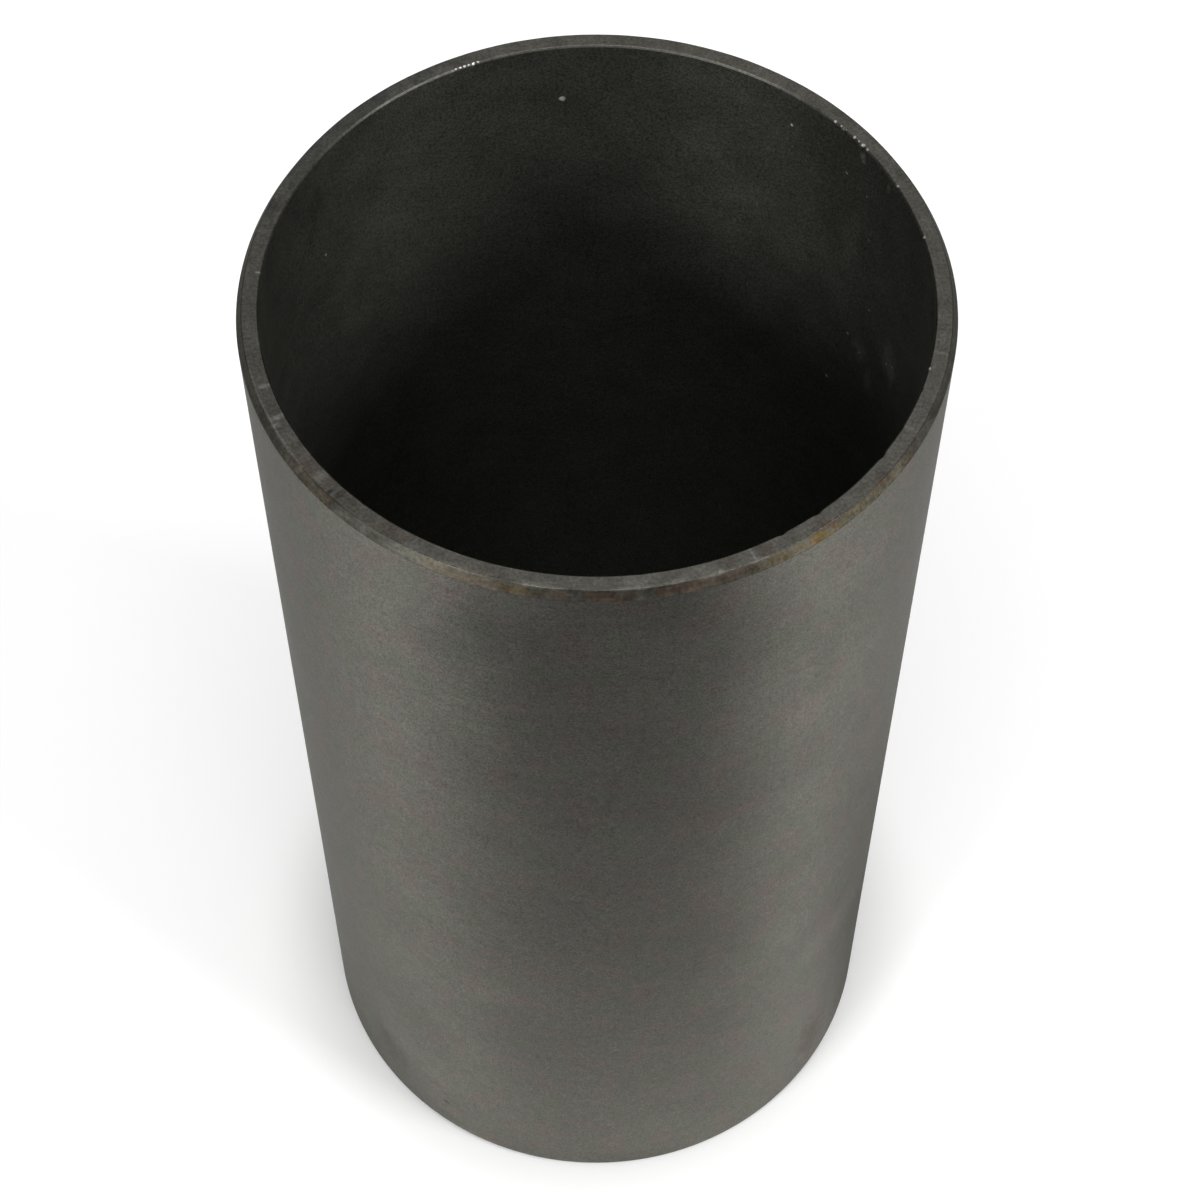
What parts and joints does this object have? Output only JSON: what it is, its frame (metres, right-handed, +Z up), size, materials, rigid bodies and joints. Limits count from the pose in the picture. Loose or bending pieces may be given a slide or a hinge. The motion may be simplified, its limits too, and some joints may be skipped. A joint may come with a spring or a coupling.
{
  "type": "cylinder liner",
  "caption": "Plain dry cylinder liner: a thin cast-iron sleeve with a honed bore, a ground press-fit outside and a lead chamfer at each end, for lining an engine cylinder.",
  "frame": {"origin": "centre of the lower end face, on the bore's axis", "axes": "+Z up the bore's axis, from the lower end face to the upper one"},
  "size_m": [0.095, 0.095, 0.185],
  "materials": {
    "liner_iron": "ground outside, honed bore"
  },
  "bodies": {
    "root": {"cylinder_liner": "liner_iron"}
  },
  "joints": []
}
